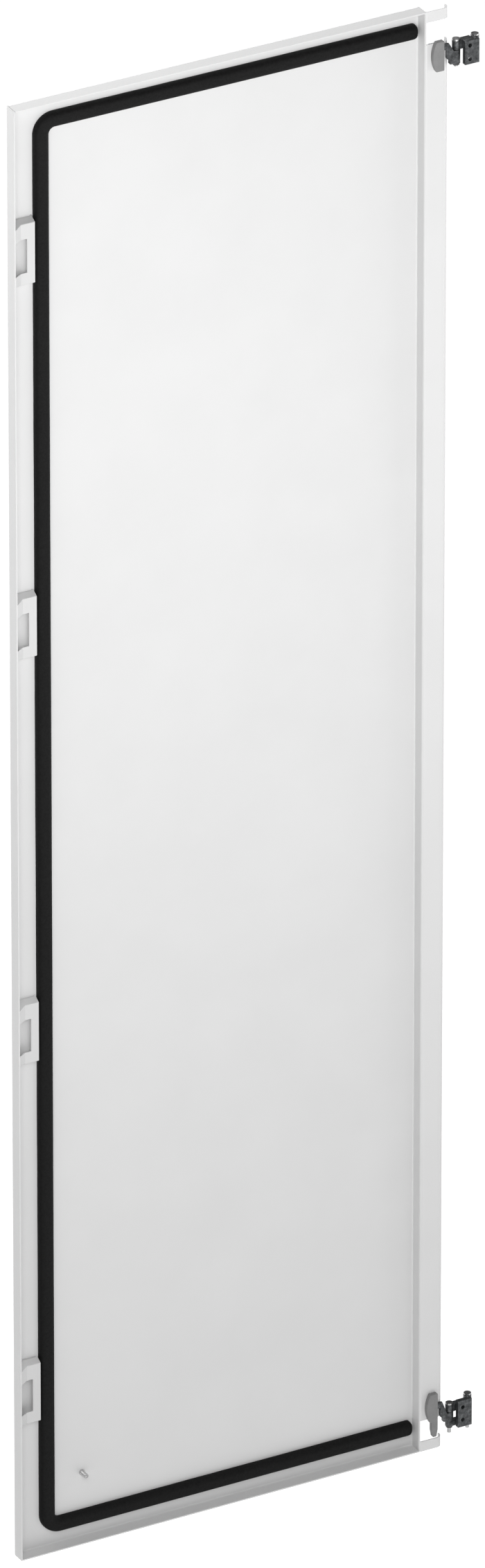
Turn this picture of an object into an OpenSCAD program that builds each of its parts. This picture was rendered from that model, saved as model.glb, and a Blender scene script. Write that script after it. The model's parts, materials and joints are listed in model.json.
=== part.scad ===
// Sheet-steel enclosure door leaf with a foamed gasket, four latch keepers
// and two two-pin hinges.  Millimetres, +Z up, +X towards the hinges,
// the inner (gasket) side faces -Y.
// Inside this file a point is given as u (across the leaf from the latch
// edge), n (depth from the outer skin towards the inner side) and z (height
// from the leaf's lower edge).  to_frame() moves that to the part's origin:
// the centre of the lower frame bracket's two holes, on its seating face.

/* [Leaf] */
// Width over the latch flange and the rounded hinge edge
leaf_w = 600; // [500:10:800]
// Height over the top and bottom flanges
leaf_h = 2000; // [1800:10:2200]
// Depth of the folded flanges
leaf_d = 20; // [18:1:24]
// Sheet thickness
sheet_t = 1.5; // [1.2:0.1:2]
// Width of the raised strip along the hinge edge
strip_w = 33.5; // [30:0.5:40]
// Radius of the rounded hinge edge
edge_r = 8; // [6:0.5:9]

/* [Hinge cut-outs] */
// Distance from the leaf's end to the cut-out
notch_end = 14; // [10:1:20]
// Height of the cut-out
notch_h = 30; // [20:1:36]

/* [Gasket] */
// Width of the foam bead
gasket_w = 19; // [14:1:22]
// Height of the foam bead
gasket_h = 10; // [7:1:12]
// Bare skin left of the bead, at the latch side
gasket_left = 35; // [34:1:45]
// Bare skin above and below the bead
gasket_end = 20; // [16:1:30]
// Outer radius of the bead's corners
gasket_r = 27; // [24:1:40]

/* [Latch keepers] */
// Height of the point that the four keepers are centred on
keeper_mid = 1016; // [1000:1:1030]
// Distance between the two middle keepers
keeper_inner = 560; // [500:1:600]
// Distance from a middle keeper to its outer neighbour
keeper_outer = 506.5; // [450:0.5:530]
// Height of a keeper's front face
keeper_h = 81.5; // [75:0.5:90]
// Width of a keeper, measured on its front
keeper_w = 30.5; // [28:0.5:31]
// Height of the slot that the latch hook enters
slot_h = 45; // [40:0.5:50]
// Width of that slot, from the latch flange
slot_w = 19.5; // [17:0.5:21]

/* [Hinges] */
// Height of the upper hinge's middle
upper_z = 1938; // [1936:0.5:1940]
// Height of the lower hinge's middle
lower_z = 45; // [43:0.5:47]
// Hinge pin diameter
pin_d = 5; // [4:0.5:5]
// Distance between the two pins of a hinge
pin_pitch = 26; // [26:0.5:28]
// Distance between the two tapped holes of a frame bracket
bolt_pitch = 18; // [16:1:20]
// Tapped hole's core diameter (M6)
bolt_core_d = 5; // [4.2:0.1:5]

/* [Earth stud] */
// Stud position from the latch edge
stud_u = 95.5; // [85:0.5:120]
// Stud position from the lower edge
stud_z = 91.5; // [80:0.5:110]
// Stud diameter (M6)
stud_d = 6; // [5:1:6]

/* [Hidden] */
$fn = 48;
eps = 0.01;
// folding radii of the sheet: inside and outside of a bend
bend_in = 1.5;
bend_out = bend_in + sheet_t;
// the raised strip starts here, and the wall behind it is one sheet thick
step_u = leaf_w - strip_w;
strip_u = step_u + sheet_t;
// open joint between two flanges at a corner
corner_gap = 0.8;
lip_len = 2;

// keeper: pressed shell that slopes from the latch flange's tip down to a flat
// face, then drops to the skin; its end walls flare and stop short of the skin
keeper_t = 2;
keeper_u = sheet_t;
keeper_bend = 12.5;
keeper_n = 13;
keeper_flare = 5;
wall_flare = 1;
foot_gap = 1.8;
slot_rise = -2.5;

// bare skin between the gasket's ends and the foot of the step
gasket_stop = 1.5;

// hinge pins, seen from above: both on one line parallel to the leaf
pin_n = 18;
door_pin_u = leaf_w + 10.5;
frame_pin_u = door_pin_u + pin_pitch;
pin_r = pin_d / 2;
knuckle_r = 5.2;
knuckle_gap = 0.5;
axial_gap = 0.3;
bush_t = 1;
run_gap = 0.05;
seat_gap = 0.02;
web_half = 4.2;
web_root = door_pin_u + 12;
head_r = 4.8;
head_h = 2;
clip_r = 4.2;
clip_t = 1;

// heights along the pins, from the hinge's middle: [frame bracket's foot and
// top, door bracket's knuckle foot and top, link's knuckle foot and top, top of
// the link's ear at the door pin, arm's foot and top at the cap, pin's tail]
upper_hinge = [upper_z, -16, 16, -16, 3, -5, 8, 15, 7, 15, 4];
lower_hinge = [lower_z, -19, 19, -11.5, 1.5, -10.7, 10.7, 12, 12, 20, 9.5];

// frame bracket plate
plate_n = pin_n + knuckle_r + knuckle_gap;
plate_t = 6.3;
plate_u = 616.5;
plate_end = 636.5;
bolt_u = 623.5;

// door bracket, its cap, screws and nut plate
base_t = 3;
arm_top = pin_n + knuckle_r;
arm_u = 594.5;
arm_w = 3.5;
cap_u = 574;
cap_end = 589.5;
cap_t = 1.3;
cap_h = 6.5;
cap_r = 42;
cap_half = 20;
upper_cap_z = 1939.5;
lower_cap_z = 61;
tail_u = 581;
tail_z = 20;
base_gap = 0.2;
screw_u = 582;
screw_r = 2.5;
screw_play = 0.25;
screw_head_r = 4.6;
screw_head_h = 2;
hex_r = 1.7;
nut_plate_t = 3;
nut_plate_half = 15.5;
upper_screw_z = 1939.5;
lower_screw_z = 61.5;
upper_screws = 20;
lower_screws = 17;

stud_h = 12.5;
stud_collar_h = 1;

// ---------- placing ----------

module to_frame() {
    translate([-bolt_u, plate_n + plate_t, -lower_z]) children();
}

// a box from (u0, n0, z0) to (u1, n1, z1)
module block(u0, n0, z0, u1, n1, z1) {
    translate([u0, -n1, z0]) cube([u1 - u0, n1 - n0, z1 - z0]);
}

// a 2D outline drawn in (u, n), raised from z0 to z1
module upright(z0, z1) {
    translate([0, 0, z0]) linear_extrude(z1 - z0) mirror([0, 1, 0]) children();
}

// a 2D outline drawn in (u, z), spanning depth n0 to n1
module facing(n0, n1) {
    translate([0, -n0, 0]) rotate([90, 0, 0]) linear_extrude(n1 - n0) children();
}

// a 2D outline drawn in (z, n), spanning u0 to u1
module sideways(u0, u1) {
    translate([u0, 0, 0]) rotate([0, -90, 0]) mirror([0, 0, 1])
        linear_extrude(u1 - u0) mirror([0, 1, 0]) children();
}

// a round bar parallel to the hinge pins
module post(u, r, z0, z1) {
    translate([u, -pin_n, z0]) cylinder(r = r, h = z1 - z0);
}

// ---------- folded sheet ----------

// quarter bend about (cu, cn); su and sn give the quadrant it fills
module bend(cu, cn, r_in, su, sn) {
    r_out = r_in + sheet_t;
    translate([cu, cn]) scale([su, sn]) intersection() {
        difference() {
            circle(r_out);
            circle(r_in);
        }
        square(r_out);
    }
}

// cross-section of the leaf: latch flange, skin, step, raised strip, round edge
module leaf_section() {
    edge_in = edge_r - sheet_t;
    translate([0, bend_out]) square([sheet_t, leaf_d - bend_out]);
    bend(bend_out, bend_out, bend_in, -1, -1);
    translate([bend_out, 0]) square([strip_u - 2 * bend_out, sheet_t]);
    bend(strip_u - bend_out, bend_out, bend_in, 1, -1);
    translate([step_u, bend_out]) square([sheet_t, leaf_d - 2 * bend_out]);
    bend(step_u + bend_out, leaf_d - bend_out, bend_in, -1, 1);
    translate([step_u + bend_out, leaf_d - sheet_t])
        square([strip_w - bend_out - edge_r, sheet_t]);
    bend(leaf_w - edge_r, leaf_d - edge_r, edge_in, 1, 1);
    translate([leaf_w - sheet_t, leaf_d - edge_r - lip_len]) square([sheet_t, lip_len]);
}

// end flange with its bend, drawn in (z, n) for the lower end
module end_flange_section() {
    translate([0, bend_out]) square([sheet_t, leaf_d - bend_out]);
    bend(bend_out, bend_out, bend_in, -1, -1);
}

module end_flange() {
    sideways(sheet_t + corner_gap, step_u) end_flange_section();
    sideways(sheet_t, step_u) intersection() {
        end_flange_section();
        square(bend_out);
    }
}

// the skin is set back at both ends to make room for the end bends
module end_trim() {
    block(bend_out, -eps, -eps, step_u, bend_out, bend_out);
}

module notch() {
    block(strip_u, leaf_d - edge_r - lip_len - 1, notch_end, leaf_w + 1, leaf_d + 1,
        notch_end + notch_h);
}

module at_both_ends() {
    children();
    translate([0, 0, leaf_h]) mirror([0, 0, 1]) children();
}

module screw_holes(z, pitch, r, n0, n1) {
    for (s = [-1, 1])
        translate([screw_u, -n0, z + s * pitch / 2]) rotate([90, 0, 0]) cylinder(r = r, h = n1 - n0);
}

module door_leaf() {
    color("gainsboro") to_frame() {
        difference() {
            upright(0, leaf_h) leaf_section();
            at_both_ends() end_trim();
            at_both_ends() notch();
            screw_holes(upper_screw_z, upper_screws, screw_r + screw_play, leaf_d - 5, leaf_d + 1);
            screw_holes(lower_screw_z, lower_screws, screw_r + screw_play, leaf_d - 5, leaf_d + 1);
        }
        at_both_ends() end_flange();
    }
}

// ---------- gasket ----------

// a square with one corner rounded by r, the corner at the origin
module round_corner_mask(r) {
    difference() {
        translate([-eps, -eps]) square(r + eps);
        translate([r, r]) circle(r);
    }
}

module gasket_outline() {
    inner_r = gasket_r - gasket_w;
    end_u = strip_u - bend_out - gasket_stop;
    tip_r = 6;
    high = leaf_h - 2 * gasket_end;
    long = end_u - gasket_left;
    translate([gasket_left, gasket_end]) difference() {
        square([long, high]);
        difference() {
            translate([gasket_w, gasket_w]) square([long, high - 2 * gasket_w]);
            for (f = [0, 1])
                translate([gasket_w, gasket_w + f * (high - 2 * gasket_w)])
                    scale([1, 1 - 2 * f]) round_corner_mask(inner_r);
        }
        for (f = [0, 1])
            translate([0, f * high]) scale([1, 1 - 2 * f]) {
                round_corner_mask(gasket_r);
                translate([long, 0]) scale([-1, 1]) round_corner_mask(tip_r);
                translate([long, gasket_w]) scale([-1, -1]) round_corner_mask(tip_r);
            }
    }
}

module door_gasket() {
    color("dimgray") to_frame() facing(sheet_t, sheet_t + gasket_h) gasket_outline();
}

// ---------- latch keepers ----------

// the shell's outer body, or with inset its hollow
module keeper_body(inset) {
    end_u = keeper_u + keeper_w - inset;
    half = keeper_h / 2 - inset;
    face_n = keeper_n - inset;
    slope = (leaf_d - keeper_n) / (keeper_bend - keeper_u);
    tip_n = leaf_d - inset * sqrt(1 + slope * slope);
    start_u = keeper_u - (inset > 0 ? 1 : 0);
    foot_n = sheet_t - (inset > 0 ? 1 : 0);
    rise = keeper_n - sheet_t;
    intersection() {
        upright(-half - keeper_flare - 1, half + keeper_flare + 1)
            polygon([
                [start_u, foot_n], [end_u + wall_flare, foot_n], [end_u, face_n],
                [keeper_u + (tip_n - face_n) / slope, face_n],
                [start_u, tip_n + (keeper_u - start_u) * slope]
            ]);
        sideways(start_u - 1, end_u + wall_flare + 1)
            polygon([
                [-half - keeper_flare * (keeper_n - foot_n) / rise, foot_n],
                [half + keeper_flare * (keeper_n - foot_n) / rise, foot_n],
                [half - keeper_flare * (leaf_d + 1 - keeper_n) / rise, leaf_d + 1],
                [-half + keeper_flare * (leaf_d + 1 - keeper_n) / rise, leaf_d + 1]
            ]);
    }
}

module keeper(z) {
    color("gainsboro") to_frame() translate([0, 0, z]) difference() {
        keeper_body(0);
        keeper_body(keeper_t);
        block(keeper_u - 1, keeper_n - keeper_t - 2, slot_rise - slot_h / 2, keeper_u + slot_w,
            leaf_d + 1, slot_rise + slot_h / 2);
        block(keeper_u - 1, sheet_t - 1, -keeper_h, keeper_u + keeper_w - keeper_t,
            sheet_t + foot_gap, keeper_h);
    }
}

// ---------- hinge parts; h is one of the two lists of heights ----------

function frame_low(h) = h[0] + h[1];
function frame_high(h) = h[0] + h[2];
function door_low(h) = h[0] + h[3];
function door_high(h) = h[0] + h[4];
function link_low(h) = h[0] + h[5];
function link_high(h) = h[0] + h[6];
function fork_high(h) = h[0] + h[7];
function arm_low(h) = h[0] + h[8];
function arm_high(h) = h[0] + h[9];
function pin_tail(h) = h[10];

// a hole along a pin, through everything at that hinge
module bore(u, r, h) {
    post(u, r, frame_low(h) - 1, frame_high(h) + 1);
}

module nut_plate(z, pitch) {
    color("silver") to_frame() difference() {
        block(screw_u - 9, leaf_d - sheet_t - nut_plate_t, z - nut_plate_half,
            screw_u + 9, leaf_d - sheet_t, z + nut_plate_half);
        screw_holes(z, pitch, screw_r, 0, leaf_d);
    }
}

// D-shaped outline: a round back towards the skin and a straight side at the arm;
// inset moves the whole line inwards
module cap_outline(z, inset) {
    intersection() {
        translate([cap_u + cap_r, z]) circle(cap_r - inset);
        translate([cap_u + inset, z - cap_half + inset])
            square([cap_end - cap_u - 2 * inset, 2 * (cap_half - inset)]);
    }
}

// the lower cap's tapered tail, which runs down over the cut-out
module tail_outline(inset) {
    mid_u = (tail_u + cap_end) / 2;
    low = tail_z + inset;
    polygon([
        [tail_u + inset, lower_cap_z], [tail_u + inset, tail_z + 10], [mid_u - 2.5 + inset / 2, low],
        [mid_u + 2.5 - inset / 2, low], [cap_end - inset, tail_z + 10], [cap_end - inset, lower_cap_z]
    ]);
}

module upper_outline(inset) {
    cap_outline(upper_cap_z, inset);
}

module lower_outline(inset) {
    cap_outline(lower_cap_z, inset);
    tail_outline(inset);
}

// base plate (its outline is the child), arm and knuckle
module door_bracket(h, screw_z, pitch) {
    turn_u = door_pin_u - knuckle_r - knuckle_gap;
    color("slategray") to_frame() difference() {
        union() {
            facing(leaf_d, leaf_d + base_t) children();
            block(cap_end - 6, leaf_d, arm_low(h), arm_u + 2, leaf_d + base_t, arm_high(h));
            facing(leaf_d, arm_top) polygon([
                [arm_u, (arm_low(h) + door_low(h)) / 2], [turn_u, door_low(h)],
                [door_pin_u, door_low(h)], [door_pin_u, door_high(h)], [turn_u, door_high(h)],
                [arm_u + arm_w, arm_high(h)], [arm_u, arm_high(h)]
            ]);
            block(leaf_w + 1.5, pin_n - 4, door_low(h), door_pin_u, leaf_d, door_high(h));
            post(door_pin_u, knuckle_r, door_low(h), door_high(h));
        }
        bore(door_pin_u, pin_r + run_gap + bush_t + seat_gap, h);
        screw_holes(screw_z, pitch, screw_r + screw_play, leaf_d - 1, leaf_d + base_t + 1);
    }
}

module bracket_screws(z, pitch) {
    head_n = leaf_d + base_t;
    color("silver") to_frame() {
        screw_holes(z, pitch, screw_r - seat_gap, leaf_d - sheet_t - nut_plate_t, head_n);
        difference() {
            screw_holes(z, pitch, screw_head_r, head_n, head_n + screw_head_h);
            for (s = [-1, 1])
                translate([screw_u, -head_n - 1, z + s * pitch / 2]) rotate([90, 0, 0])
                    cylinder(r = hex_r, h = screw_head_h, $fn = 6);
        }
    }
}

// clip-on cap: an open-backed shell, also open at the side the arm leaves by
module cap_shell(h) {
    color("darkgray") to_frame() difference() {
        facing(leaf_d, leaf_d + cap_h) children(0);
        facing(leaf_d - 1, leaf_d + cap_h - cap_t) children(1);
        block(cap_end - 5, leaf_d - 1, arm_low(h) - base_gap, cap_end + 1,
            leaf_d + base_t + base_gap, arm_high(h) + base_gap);
    }
}

module bush(u, h, low, high) {
    color("ivory") to_frame() difference() {
        post(u, pin_r + run_gap + bush_t, low, high);
        bore(u, pin_r + run_gap, h);
    }
}

// ears round the door pin above and below the door bracket's knuckle, joined by
// a web to the knuckle that turns on the frame pin
module link(h) {
    web_end = frame_pin_u - knuckle_r - knuckle_gap;
    web_n0 = pin_n - web_half;
    web_n1 = pin_n + web_half;
    ear_top = door_low(h) - axial_gap;
    has_lower_ear = ear_top - frame_low(h) > 2;
    web_low = has_lower_ear ? frame_low(h) : link_low(h);
    color("gray") to_frame() difference() {
        union() {
            post(door_pin_u, knuckle_r, door_high(h) + axial_gap, fork_high(h));
            block(door_pin_u, web_n0, door_high(h) + axial_gap, web_end, web_n1, fork_high(h));
            if (has_lower_ear) {
                post(door_pin_u, knuckle_r, frame_low(h), ear_top);
                block(door_pin_u, web_n0, frame_low(h), web_end, web_n1, ear_top);
            }
            block(web_root, web_n0, web_low, web_end, web_n1, fork_high(h));
            block(web_root, web_n0, link_low(h), frame_pin_u, web_n1, link_high(h));
            post(frame_pin_u, knuckle_r, link_low(h), link_high(h));
        }
        bore(door_pin_u, pin_r + seat_gap, h);
        bore(frame_pin_u, pin_r + run_gap + bush_t + seat_gap, h);
    }
}

// one ear round the frame pin, with its root on the plate
module frame_ear(low, high) {
    post(frame_pin_u, knuckle_r, low, high);
    block(frame_pin_u - knuckle_r, pin_n, low, plate_end, plate_n, high);
}

module frame_bracket(h) {
    color("slategray") to_frame() difference() {
        union() {
            block(plate_u, plate_n, frame_low(h), plate_end, plate_n + plate_t, frame_high(h));
            frame_ear(frame_low(h), link_low(h) - axial_gap);
            frame_ear(link_high(h) + axial_gap, frame_high(h));
        }
        bore(frame_pin_u, pin_r + seat_gap, h);
        for (s = [-1, 1])
            translate([bolt_u, -plate_n + 1, h[0] + s * bolt_pitch / 2]) rotate([90, 0, 0])
                cylinder(d = bolt_core_d, h = plate_t + 2);
    }
}

// pin with its head on top of the casting and its tail below
module hinge_pin(u, h, high) {
    color("lightsteelblue") to_frame() {
        post(u, pin_r, frame_low(h) - pin_tail(h), high);
        post(u, head_r, high, high + head_h);
    }
}

module pin_clip(u, h) {
    top = frame_low(h) - 1;
    color("dimgray") to_frame() difference() {
        post(u, clip_r, top - clip_t, top);
        post(u, pin_r + seat_gap, top - clip_t - 1, top + 1);
        block(u, pin_n - 1, top - clip_t - 1, u + clip_r + 1, pin_n + 1, top + 1);
    }
}

// ---------- earth stud ----------

module earth_stud() {
    color("darkgray") to_frame() translate([stud_u, -sheet_t, stud_z]) rotate([90, 0, 0]) {
        cylinder(d = stud_d, h = stud_h);
        cylinder(d = stud_d + 2, h = stud_collar_h);
    }
}

// ---------- named nodes ----------

function keeper_z(i) = keeper_mid
    + (i < 2 ? 1 : -1) * (keeper_inner / 2 + (i == 0 || i == 3 ? keeper_outer : 0));

module keeper_1() { keeper(keeper_z(0)); }
module keeper_2() { keeper(keeper_z(1)); }
module keeper_3() { keeper(keeper_z(2)); }
module keeper_4() { keeper(keeper_z(3)); }
module upper_nut_plate() { nut_plate(upper_screw_z, upper_screws); }
module lower_nut_plate() { nut_plate(lower_screw_z, lower_screws); }
module upper_door_bracket() {
    door_bracket(upper_hinge, upper_screw_z, upper_screws) upper_outline(cap_t + base_gap);
}
module lower_door_bracket() {
    door_bracket(lower_hinge, lower_screw_z, lower_screws) lower_outline(cap_t + base_gap);
}
module upper_bracket_screws() { bracket_screws(upper_screw_z, upper_screws); }
module lower_bracket_screws() { bracket_screws(lower_screw_z, lower_screws); }
module upper_bracket_cap() {
    cap_shell(upper_hinge) {
        upper_outline(0);
        upper_outline(cap_t);
    }
}
module lower_bracket_cap() {
    cap_shell(lower_hinge) {
        lower_outline(0);
        lower_outline(cap_t);
    }
}
module door_bush(h) { bush(door_pin_u, h, door_low(h), door_high(h)); }
module link_bush(h) { bush(frame_pin_u, h, link_low(h), link_high(h)); }
module upper_door_bush() { door_bush(upper_hinge); }
module lower_door_bush() { door_bush(lower_hinge); }
module upper_link() { link(upper_hinge); }
module lower_link() { link(lower_hinge); }
module upper_door_pin() { hinge_pin(door_pin_u, upper_hinge, fork_high(upper_hinge)); }
module lower_door_pin() { hinge_pin(door_pin_u, lower_hinge, fork_high(lower_hinge)); }
module upper_door_pin_clip() { pin_clip(door_pin_u, upper_hinge); }
module lower_door_pin_clip() { pin_clip(door_pin_u, lower_hinge); }
module upper_link_bush() { link_bush(upper_hinge); }
module lower_link_bush() { link_bush(lower_hinge); }
module upper_frame_bracket() { frame_bracket(upper_hinge); }
module lower_frame_bracket() { frame_bracket(lower_hinge); }
module upper_frame_pin() { hinge_pin(frame_pin_u, upper_hinge, frame_high(upper_hinge)); }
module lower_frame_pin() { hinge_pin(frame_pin_u, lower_hinge, frame_high(lower_hinge)); }
module upper_frame_pin_clip() { pin_clip(frame_pin_u, upper_hinge); }
module lower_frame_pin_clip() { pin_clip(frame_pin_u, lower_hinge); }

door_leaf();
door_gasket();
keeper_1();
keeper_2();
keeper_3();
keeper_4();
upper_nut_plate();
lower_nut_plate();
upper_door_bracket();
lower_door_bracket();
upper_bracket_screws();
lower_bracket_screws();
upper_bracket_cap();
lower_bracket_cap();
upper_door_bush();
lower_door_bush();
upper_link();
lower_link();
upper_door_pin();
lower_door_pin();
upper_door_pin_clip();
lower_door_pin_clip();
upper_link_bush();
lower_link_bush();
upper_frame_bracket();
lower_frame_bracket();
upper_frame_pin();
lower_frame_pin();
upper_frame_pin_clip();
lower_frame_pin_clip();
earth_stud();
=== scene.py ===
"""Looks for a sheet-steel enclosure door leaf with a foamed gasket, latch keepers and two-pin hinges."""
import json
import math

import bmesh
import bpy
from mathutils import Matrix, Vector, noise


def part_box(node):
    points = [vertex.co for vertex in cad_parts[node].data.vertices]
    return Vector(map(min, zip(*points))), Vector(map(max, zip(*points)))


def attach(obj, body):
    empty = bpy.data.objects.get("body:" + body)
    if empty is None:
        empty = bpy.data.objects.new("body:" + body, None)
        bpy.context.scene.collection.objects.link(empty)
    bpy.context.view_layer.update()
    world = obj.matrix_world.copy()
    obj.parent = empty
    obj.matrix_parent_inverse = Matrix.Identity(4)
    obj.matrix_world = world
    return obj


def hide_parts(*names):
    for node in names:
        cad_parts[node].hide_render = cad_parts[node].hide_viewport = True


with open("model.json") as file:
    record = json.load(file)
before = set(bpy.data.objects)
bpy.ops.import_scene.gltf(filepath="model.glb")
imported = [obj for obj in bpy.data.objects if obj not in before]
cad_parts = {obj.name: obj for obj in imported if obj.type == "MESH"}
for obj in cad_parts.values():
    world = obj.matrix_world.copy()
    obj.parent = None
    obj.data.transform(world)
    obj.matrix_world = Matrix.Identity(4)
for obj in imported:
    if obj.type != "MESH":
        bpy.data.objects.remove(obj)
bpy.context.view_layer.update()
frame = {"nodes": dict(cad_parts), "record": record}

MM = 0.001
QUARTER_TURN = math.pi / 2
nodes = frame["nodes"]
leaf_low, leaf_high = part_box("door_leaf")
leaf_middle = (leaf_low + leaf_high) / 2


# ---------- camera ----------

VIEW_AZIMUTH = math.radians(28.98)  # the camera stands this far round towards the latch side
VIEW_ELEVATION = math.radians(27.74)
VIEW_DISTANCE = 26.73
AIM_RIGHT = 24.5 * MM  # the view is aimed a little off the leaf's middle
AIM_DOWN = 1.7 * MM
LENS = 500  # in millimetres, as is the sensor's width
SENSOR_WIDTH = 36
NEAREST = 1  # the span of distances that the camera sees
FARTHEST = 200


def view_direction():
    return Vector((
        math.sin(VIEW_AZIMUTH) * math.cos(VIEW_ELEVATION),
        math.cos(VIEW_AZIMUTH) * math.cos(VIEW_ELEVATION),
        -math.sin(VIEW_ELEVATION),
    ))


def make_camera():
    data = bpy.data.cameras.new("camera")
    data.lens = LENS
    data.sensor_width = SENSOR_WIDTH
    data.clip_start = NEAREST
    data.clip_end = FARTHEST
    camera = bpy.data.objects.new("camera", data)
    bpy.context.collection.objects.link(camera)
    forward = view_direction()
    aim = Vector((leaf_middle.x + AIM_RIGHT, leaf_high.y, leaf_middle.z - AIM_DOWN))
    camera.location = aim - forward * VIEW_DISTANCE
    camera.rotation_euler = forward.to_track_quat("-Z", "Y").to_euler()
    bpy.context.scene.camera = camera


# ---------- floor and light ----------

WORLD_LIGHT = 0.1  # from all round
BACKDROP_LIGHT = 1.1  # what the camera sees of the world, just past white
FLOOR_DROP = 0.6  # below the leaf's lower edge
FLOOR_HALF = 60
FLOOR_TONE = 0.35
FLOOR_GLOW = 0.96  # so that it reads as white
BRIGHT_HEIGHT = 1.5  # above the leaf's lower edge, where its skin is lightest
KEY_BEFORE = 1.3  # in front of the frame's origin
FRONT_DISTANCE = 4  # back along the view from the leaf's middle
SIDE_OUT = 1.9  # out from the hinge edge
SIDE_BEFORE = 0.5  # in front of the frame's origin
ABOVE_BEHIND = 0.8  # behind the leaf
ABOVE_UP = 1.5  # over its upper edge
EDGE_OUT = 1.6  # out from the latch edge
EDGE_BEHIND = 0.7  # behind the leaf
EDGE_UP = 0.6  # over its upper edge
EDGE_AIM_HEIGHT = 1.2  # above its lower edge


def make_world():
    world = bpy.data.worlds.new("studio")
    bpy.context.scene.world = world
    world.use_nodes = True
    tree = world.node_tree
    background = tree.nodes["Background"]
    path = tree.nodes.new("ShaderNodeLightPath")
    strength = tree.nodes.new("ShaderNodeMapRange")
    strength.inputs["To Min"].default_value = WORLD_LIGHT
    strength.inputs["To Max"].default_value = BACKDROP_LIGHT
    tree.links.new(path.outputs["Is Camera Ray"], strength.inputs["Value"])
    tree.links.new(strength.outputs["Result"], background.inputs["Strength"])
    background.inputs["Color"].default_value = (1, 1, 1, 1)


def make_floor():
    mesh = bpy.data.meshes.new("floor")
    z = leaf_low.z - FLOOR_DROP
    signs = ((-1, -1), (1, -1), (1, 1), (-1, 1))
    corners = [(x * FLOOR_HALF, y * FLOOR_HALF, z) for x, y in signs]
    mesh.from_pydata(corners, [], [(0, 1, 2, 3)])
    floor = bpy.data.objects.new("floor", mesh)
    bpy.context.collection.objects.link(floor)
    material = bpy.data.materials.new("floor")
    material.use_nodes = True
    shader = material.node_tree.nodes["Principled BSDF"]
    shader.inputs["Base Color"].default_value = (FLOOR_TONE, FLOOR_TONE, FLOOR_TONE, 1)
    shader.inputs["Roughness"].default_value = 1
    shader.inputs["Emission Color"].default_value = (1, 1, 1, 1)
    shader.inputs["Emission Strength"].default_value = FLOOR_GLOW
    mesh.materials.append(material)


def area_light(name, place, target, size, power):
    data = bpy.data.lights.new(name, "AREA")
    data.size = size
    data.energy = power
    light = bpy.data.objects.new(name, data)
    bpy.context.collection.objects.link(light)
    light.location = place
    light.rotation_euler = (Vector(target) - Vector(place)).to_track_quat("-Z", "Y").to_euler()
    return data


def make_lights():
    bright_z = leaf_low.z + BRIGHT_HEIGHT

    key_place = (leaf_middle.x, -KEY_BEFORE, bright_z)
    key = area_light("key", key_place, (leaf_middle.x, 0, bright_z), size=0.9, power=6.8)
    key.use_shadow = False  # so that it fills the keepers' slots too

    front_place = leaf_middle - view_direction() * FRONT_DISTANCE
    area_light("front", front_place, leaf_middle, size=2.2, power=84)

    side_place = (leaf_high.x + SIDE_OUT, -SIDE_BEFORE, bright_z)
    area_light("side", side_place, (leaf_high.x, 0, bright_z), size=1.2, power=14)

    above_place = (leaf_middle.x, leaf_high.y + ABOVE_BEHIND, leaf_high.z + ABOVE_UP)
    area_light("above", above_place, (leaf_middle.x, leaf_high.y, leaf_high.z), size=1.5, power=34)

    edge_place = (leaf_low.x - EDGE_OUT, leaf_high.y + EDGE_BEHIND, leaf_high.z + EDGE_UP)
    edge_target = (leaf_low.x, leaf_high.y, leaf_low.z + EDGE_AIM_HEIGHT)
    area_light("edge", edge_place, edge_target, size=1.6, power=22)


# ---------- materials ----------

NOISE_SPAN = (0.3, 0.7)  # noise seldom leaves this span
CELL_SPAN = (0.0, 0.6)  # from the middle of a cell out towards its rim


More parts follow.
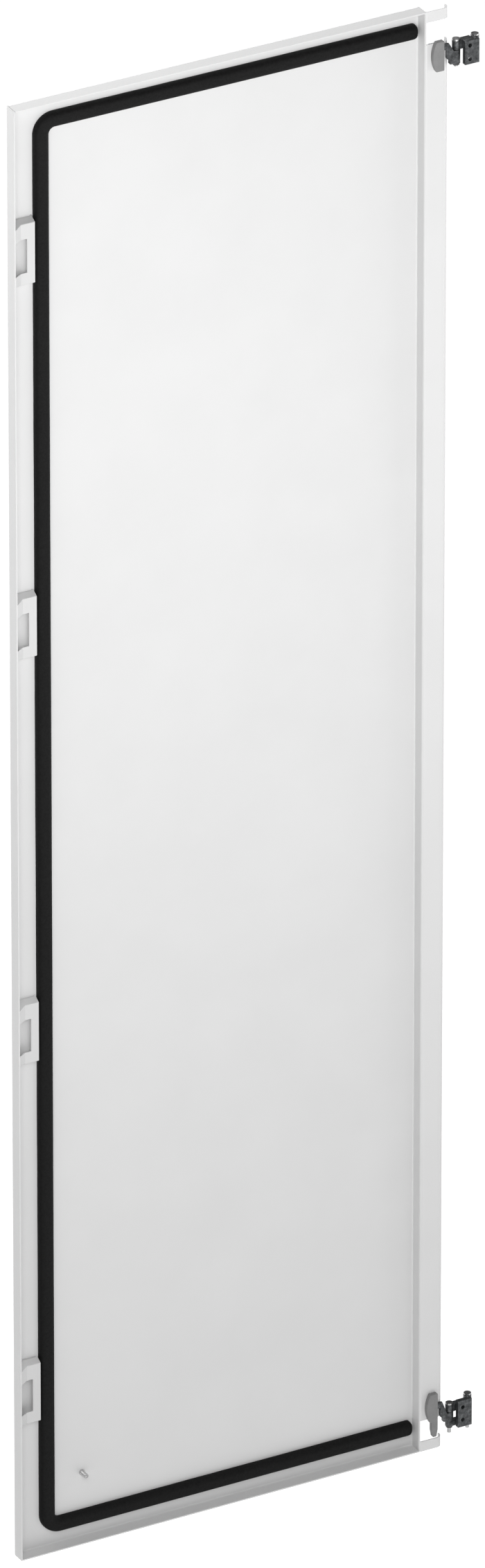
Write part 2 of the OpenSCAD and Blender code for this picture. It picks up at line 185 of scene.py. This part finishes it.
class Look:
    """One material: a Principled shader and the nodes that drive it."""

    def __init__(self, slot, metallic=0.0):
        self.material = bpy.data.materials.new(slot + "_look")
        self.material.use_nodes = True
        self.tree = self.material.node_tree
        self.shader = self.tree.nodes["Principled BSDF"]
        self.shader.inputs["Metallic"].default_value = metallic
        self.place = self.tree.nodes.new("ShaderNodeTexCoord").outputs["Object"]

    def noise(self, size, detail=2.0, rough=0.5, stretch=(1, 1, 1)):
        """Noise whose features are about `size` metres across."""
        mapping = self.tree.nodes.new("ShaderNodeMapping")
        mapping.inputs["Scale"].default_value = stretch
        self.tree.links.new(self.place, mapping.inputs["Vector"])
        node = self.tree.nodes.new("ShaderNodeTexNoise")
        node.inputs["Scale"].default_value = 1 / size
        node.inputs["Detail"].default_value = detail
        node.inputs["Roughness"].default_value = rough
        self.tree.links.new(mapping.outputs["Vector"], node.inputs["Vector"])
        return node.outputs["Fac"]

    def cells(self, size):
        """Distance from the middle of the nearest of many cells about `size` metres across."""
        node = self.tree.nodes.new("ShaderNodeTexVoronoi")
        node.inputs["Scale"].default_value = 1 / size
        self.tree.links.new(self.place, node.inputs["Vector"])
        return node.outputs["Distance"]

    def color(self, source, colors, at=NOISE_SPAN):
        """Base colour that runs through `colors` as `source` runs through the values in `at`."""
        node = self.tree.nodes.new("ShaderNodeValToRGB")
        while len(node.color_ramp.elements) < len(colors):
            node.color_ramp.elements.new(0.5)
        for element, position, color in zip(node.color_ramp.elements, at, colors):
            element.position = position
            element.color = (*color, 1)
        self.tree.links.new(source, node.inputs["Fac"])
        self.tree.links.new(node.outputs["Color"], self.shader.inputs["Base Color"])

    def roughness(self, source, values, at=NOISE_SPAN):
        """Roughness that runs between two `values` as `source` runs between the two in `at`."""
        node = self.tree.nodes.new("ShaderNodeMapRange")
        for name, value in zip(("From Min", "From Max", "To Min", "To Max"), (*at, *values)):
            node.inputs[name].default_value = value
        self.tree.links.new(source, node.inputs["Value"])
        self.tree.links.new(node.outputs["Result"], self.shader.inputs["Roughness"])

    def bump(self, source, depth):
        """A bump of about `depth` metres, added over any earlier one."""
        node = self.tree.nodes.new("ShaderNodeBump")
        node.inputs["Distance"].default_value = depth
        node.inputs["Strength"].default_value = 1.0
        self.tree.links.new(source, node.inputs["Height"])
        earlier = self.shader.inputs["Normal"].links
        if earlier:
            self.tree.links.new(earlier[0].from_socket, node.inputs["Normal"])
        self.tree.links.new(node.outputs["Normal"], self.shader.inputs["Normal"])


def grey(value):
    return (value, value, value)


def powder_coat(slot, value):
    """Paint with a slight cloudiness and a fine orange peel."""
    look = Look(slot)
    look.color(look.noise(90 * MM, detail=3), (grey(value * 0.985), grey(value * 1.01)))
    peel = look.noise(1.6 * MM)
    look.roughness(peel, (0.38, 0.48))
    look.bump(peel, 0.03 * MM)
    return look.material


def foam():
    """Black foam with a skin of fine pores."""
    look = Look("foam_gasket")
    look.color(look.noise(3 * MM, detail=3), (grey(0.0035), grey(0.007)))
    pores = look.cells(0.9 * MM)
    look.roughness(pores, (0.78, 0.6), at=CELL_SPAN)
    look.bump(look.noise(6 * MM), 0.25 * MM)
    look.bump(pores, 0.12 * MM)
    look.shader.inputs["Specular IOR Level"].default_value = 0.12
    return look.material


def casting():
    """Dark zinc, blotched and grained."""
    look = Look("dark_zinc_casting", metallic=0.7)
    blotch = look.noise(5 * MM, detail=5, rough=0.65)
    colors = ((0.028, 0.03, 0.031), (0.07, 0.073, 0.076), (0.16, 0.165, 0.17))
    look.color(blotch, colors, at=(0.3, 0.52, 0.75))
    look.roughness(blotch, (0.5, 0.3), at=(0.3, 0.75))
    look.bump(look.noise(1.4 * MM, detail=3), 0.12 * MM)
    look.bump(look.noise(0.4 * MM), 0.03 * MM)
    return look.material


def cap_plastic():
    """Moulded grey plastic with a fine grain."""
    look = Look("grey_cap_plastic")
    look.color(look.noise(8 * MM, detail=3), (grey(0.175), grey(0.2)))
    grain = look.cells(0.35 * MM)
    look.roughness(grain, (0.44, 0.58), at=CELL_SPAN)
    look.bump(grain, 0.03 * MM)
    return look.material


def zinc():
    """Bright, slightly blue zinc plating."""
    look = Look("zinc_plated_steel", metallic=1.0)
    cloud = look.noise(2.5 * MM, detail=4)
    look.color(cloud, ((0.5, 0.53, 0.56), (0.66, 0.68, 0.7)))
    look.roughness(cloud, (0.25, 0.4))
    return look.material


def turned_steel(slot, value, rough):
    """Bare steel with fine level marks, as turning leaves round an upright pin."""
    look = Look(slot, metallic=1.0)
    rings = look.noise(0.5 * MM, stretch=(0.05, 0.05, 4))
    look.color(rings, (grey(value * 0.85), grey(value * 1.1)))
    look.roughness(rings, (rough - 0.06, rough + 0.08))
    look.bump(rings, 0.02 * MM)
    return look.material


def acetal():
    """White polymer that lets a little light in."""
    look = Look("bush_polymer")
    look.color(look.noise(4 * MM), ((0.7, 0.68, 0.6), (0.75, 0.73, 0.66)))
    look.shader.inputs["Roughness"].default_value = 0.4
    look.shader.inputs["Subsurface Weight"].default_value = 0.1
    look.shader.inputs["Subsurface Scale"].default_value = 1 * MM
    return look.material


def make_looks():
    return {
        "painted_steel": powder_coat("painted_steel", value=0.62),
        # The keepers' paint is the leaf's made darker, which is painted shade: their raised faces catch
        # more light than the skin around them.
        "keeper_steel": powder_coat("keeper_steel", value=0.56),
        "foam_gasket": foam(),
        "dark_zinc_casting": casting(),
        "grey_cap_plastic": cap_plastic(),
        "zinc_plated_steel": zinc(),
        "pin_steel": turned_steel("pin_steel", value=0.42, rough=0.3),
        "spring_steel": turned_steel("spring_steel", value=0.12, rough=0.4),
        "bush_polymer": acetal(),
        "stud_steel": turned_steel("stud_steel", value=0.5, rough=0.45),
    }


def dress(looks):
    for node in nodes.values():
        for slot in node.material_slots:
            slot.material = looks[slot.material.name.split(".")[0]]


# ---------- how a piece is made here ----------

def fix_normals(piece):
    edit = bmesh.new()
    edit.from_mesh(piece.data)
    bmesh.ops.recalc_face_normals(edit, faces=edit.faces)
    edit.to_mesh(piece.data)
    edit.free()


def new_piece(name, rings, material):
    """A closed piece: rings of equally many points, joined by quads, and a face over each end."""
    around = len(rings[0])
    faces = []
    for r in range(len(rings) - 1):
        for i in range(around):
            j = (i + 1) % around
            faces.append((r * around + i, r * around + j, (r + 1) * around + j, (r + 1) * around + i))
    last = (len(rings) - 1) * around
    faces.append(tuple(range(around)))
    faces.append(tuple(range(last, last + around))[::-1])
    mesh = bpy.data.meshes.new(name)
    mesh.from_pydata([point for ring in rings for point in ring], [], faces)
    mesh.materials.append(material)
    mesh.shade_smooth()
    piece = bpy.data.objects.new(name, mesh)
    bpy.context.collection.objects.link(piece)
    fix_normals(piece)
    return piece


# ---------- gasket ----------

BEAD_WIDTH = 19 * MM
BEAD_SPREAD = 0.5 * MM  # each side of the foam stands this far past its drawn width
BEAD_CORNER = 27 * MM  # outer radius of the bead's two corners
BEAD_STEP = 6 * MM  # between sections along a straight run
BEAD_TIP = 7 * MM  # length over which an end rounds off
CORNER_STEPS = 12
TIP_STEPS = 9
SECTION_POINTS = 25
SIDE_POWER = 0.62  # below 1, the bead's sides stand up more steeply
CROWN_POWER = 0.6  # below 1, its crown is flatter
TIP_POWER = 2.6  # above 2, an end is blunter than half an ellipse
TIP_DROP = 0.6  # below 1, an end keeps its height longer than its width
TIP_LEAST = 0.02  # keeps an end from narrowing to a point
BEAD_WANDER = 0.025  # how much the bead's width and height vary, as a share
LONG_WAVE = 110 * MM
SHORT_WAVE = 30 * MM
LONG_WAVE_PLACE = 3.7  # the two waves read the noise in different places
SHORT_WAVE_PLACE = 9.1


def straight(start, end):
    count = max(2, round((end - start).length / BEAD_STEP))
    return [start.lerp(end, i / count) for i in range(count)]


def corner(x, z, radius, start):
    """Points clockwise round a quarter circle about x and z, from the angle `start`."""
    points = []
    for i in range(CORNER_STEPS):
        angle = start - QUARTER_TURN * i / CORNER_STEPS
        points.append(Vector((x + radius * math.cos(angle), z + radius * math.sin(angle))))
    return points


def closing_in(end, back):
    """Points up to `end` from BEAD_TIP away, in direction `back`, closer and closer together."""
    shares = [1 - math.sin(QUARTER_TURN * i / TIP_STEPS) for i in range(TIP_STEPS + 1)]
    return [end + back * BEAD_TIP * share for share in shares]


def bead_path(low, high):
    """Centre line of the C, from its lower end round to its upper end, in x and z."""
    inset = BEAD_WIDTH / 2
    bend = BEAD_CORNER - inset
    left = low.x + inset
    right = high.x
    bottom = low.z + inset
    top = high.z - inset
    inwards = Vector((-1, 0))
    points = closing_in(Vector((right, bottom)), inwards)[::-1]
    points += straight(Vector((right - BEAD_TIP - BEAD_STEP, bottom)), Vector((left + bend, bottom)))
    points += corner(left + bend, bottom + bend, bend, -QUARTER_TURN)
    points += straight(Vector((left, bottom + bend)), Vector((left, top - bend)))
    points += corner(left + bend, top - bend, bend, 2 * QUARTER_TURN)
    points += straight(Vector((left + bend, top)), Vector((right - BEAD_TIP, top)))
    points += closing_in(Vector((right, top)), inwards)
    return points


def distances(points):
    """How far along the path each point lies."""
    lengths = [0.0]
    for before, after in zip(points, points[1:]):
        lengths.append(lengths[-1] + (after - before).length)
    return lengths


def wander(length):
    """How much wider and lower the bead is this far along it, as a share."""
    slow = noise.noise(Vector((length / LONG_WAVE, LONG_WAVE_PLACE, 0)))
    quick = noise.noise(Vector((length / SHORT_WAVE, SHORT_WAVE_PLACE, 0)))
    return BEAD_WANDER * (slow + 0.5 * quick)


def bead_section(point, side, half, rise, base_y):
    """One domed section, `half` wide to each side and `rise` high over `base_y`."""
    section = []
    for k in range(SECTION_POINTS):
        angle = math.pi * k / (SECTION_POINTS - 1)
        across = half * math.copysign(abs(math.cos(angle)) ** SIDE_POWER, math.cos(angle))
        place = point + side * across
        section.append((place.x, base_y - rise * math.sin(angle) ** CROWN_POWER, place.y))
    return section


def make_gasket(material):
    """The foamed-in-place bead: domed, with rounded ends and a slight waver."""
    low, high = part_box("door_gasket")
    points = bead_path(low, high)
    lengths = distances(points)
    sections = []
    for i, point in enumerate(points):
        ahead = points[min(i + 1, len(points) - 1)] - points[max(i - 1, 0)]
        side = Vector((ahead.y, -ahead.x)).normalized()
        to_end = min(lengths[i], lengths[-1] - lengths[i]) / BEAD_TIP
        taper = max(TIP_LEAST, 1 - max(0.0, 1 - to_end) ** TIP_POWER) ** (1 / TIP_POWER)
        half = (BEAD_WIDTH / 2 + BEAD_SPREAD) * taper * (1 + wander(lengths[i]))
        rise = (high.y - low.y) * taper ** TIP_DROP * (1 - wander(lengths[i]))
        sections.append(bead_section(point, side, half, rise, high.y))
    bead = new_piece("gasket_foam", sections, material)
    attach(bead, "door")
    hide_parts("door_gasket")


# ---------- earth stud ----------

THREAD_RADIUS = 3 * MM
THREAD_PITCH = 1 * MM
THREAD_DEPTH = 0.55 * MM
THREAD_ROWS = 110
RING_POINTS = 40
TIP_RELIEF = 0.15  # how much of the thread's depth is left at the stud's tip, as a share
COLLAR_RADIUS = 4 * MM
COLLAR_HEIGHT = 1 * MM
COLLAR_PROFILE = ((1.0, 0.0), (0.97, 0.7), (0.84, 1.0))  # shares of its radius and height


def level_ring(middle, y, radii):
    """Points round the stud at one height, one for each radius."""
    ring = []
    for k, radius in enumerate(radii):
        angle = 2 * math.pi * k / len(radii)
        ring.append((middle.x + radius * math.cos(angle), y, middle.z + radius * math.sin(angle)))
    return ring


def thread_radius(rise, turn, relief):
    """Radius of the thread at a height and a share of a turn. With no relief, it is the core's."""
    phase = (rise / THREAD_PITCH - turn) % 1
    groove = 1 - abs(2 * phase - 1)
    return THREAD_RADIUS - THREAD_DEPTH * (groove * relief + 1 - relief)


def make_stud(material):
    """The M6 earth stud with its weld collar and a real thread."""
    low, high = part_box("earth_stud")
    middle = (low + high) / 2
    length = high.y - low.y
    rings = []
    for radius_share, height_share in COLLAR_PROFILE:
        radii = [COLLAR_RADIUS * radius_share] * RING_POINTS
        rings.append(level_ring(middle, high.y - COLLAR_HEIGHT * height_share, radii))
    for r in range(THREAD_ROWS + 1):
        rise = COLLAR_HEIGHT + (length - COLLAR_HEIGHT) * r / THREAD_ROWS
        from_collar = (rise - COLLAR_HEIGHT) / THREAD_PITCH
        from_tip = (length - rise) / THREAD_PITCH
        relief = min(1.0, from_collar, from_tip + TIP_RELIEF)
        radii = [thread_radius(rise, k / RING_POINTS, relief) for k in range(RING_POINTS)]
        rings.append(level_ring(middle, high.y - rise, radii))
    stud = new_piece("threaded_stud", rings, material)
    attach(stud, "door")
    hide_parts("earth_stud")


# ---------- soft edges ----------

WELD_DISTANCE = 0.01 * MM
FLAT_ANGLE = math.radians(1)  # facets that meet at less than this become one face
EDGE_ANGLE = math.radians(35)  # edges that turn by more than this are rounded
EDGE_SEGMENTS = 3
EDGE_ROUNDING = {
    "dark_zinc_casting": 0.5 * MM,
    "grey_cap_plastic": 1.5 * MM,
    "keeper_steel": 0.7 * MM,
}


def round_node(node, radius, is_cap):
    """Soft edges by modifiers. The node's own mesh stays as it is."""
    node.modifiers.new("join_faces", "WELD").merge_threshold = WELD_DISTANCE
    if not is_cap:  # joined facets leave a dark sliver beside the lower cap's tail
        flatten = node.modifiers.new("one_face_per_flat", "DECIMATE")
        flatten.decimate_type = "DISSOLVE"
        flatten.angle_limit = FLAT_ANGLE
    bevel = node.modifiers.new("soft_edges", "BEVEL")
    bevel.width = radius
    bevel.segments = EDGE_SEGMENTS
    bevel.limit_method = "ANGLE"
    bevel.angle_limit = EDGE_ANGLE
    bevel.use_clamp_overlap = is_cap  # holds the wide rounding to what fits between facets
    bevel.harden_normals = True


def round_edges():
    """Castings, caps and pressings get the soft edges that their processes leave."""
    for entry in frame["record"]["subparts"]:
        slot = entry["material_slot"]
        if slot in EDGE_ROUNDING:
            round_node(nodes[entry["node"]], EDGE_ROUNDING[slot], slot == "grey_cap_plastic")


make_camera()
make_world()
make_floor()
make_lights()
looks = make_looks()
dress(looks)
make_gasket(looks["foam_gasket"])
make_stud(looks["stud_steel"])
round_edges()
bpy.context.scene.view_settings.view_transform = "Standard"
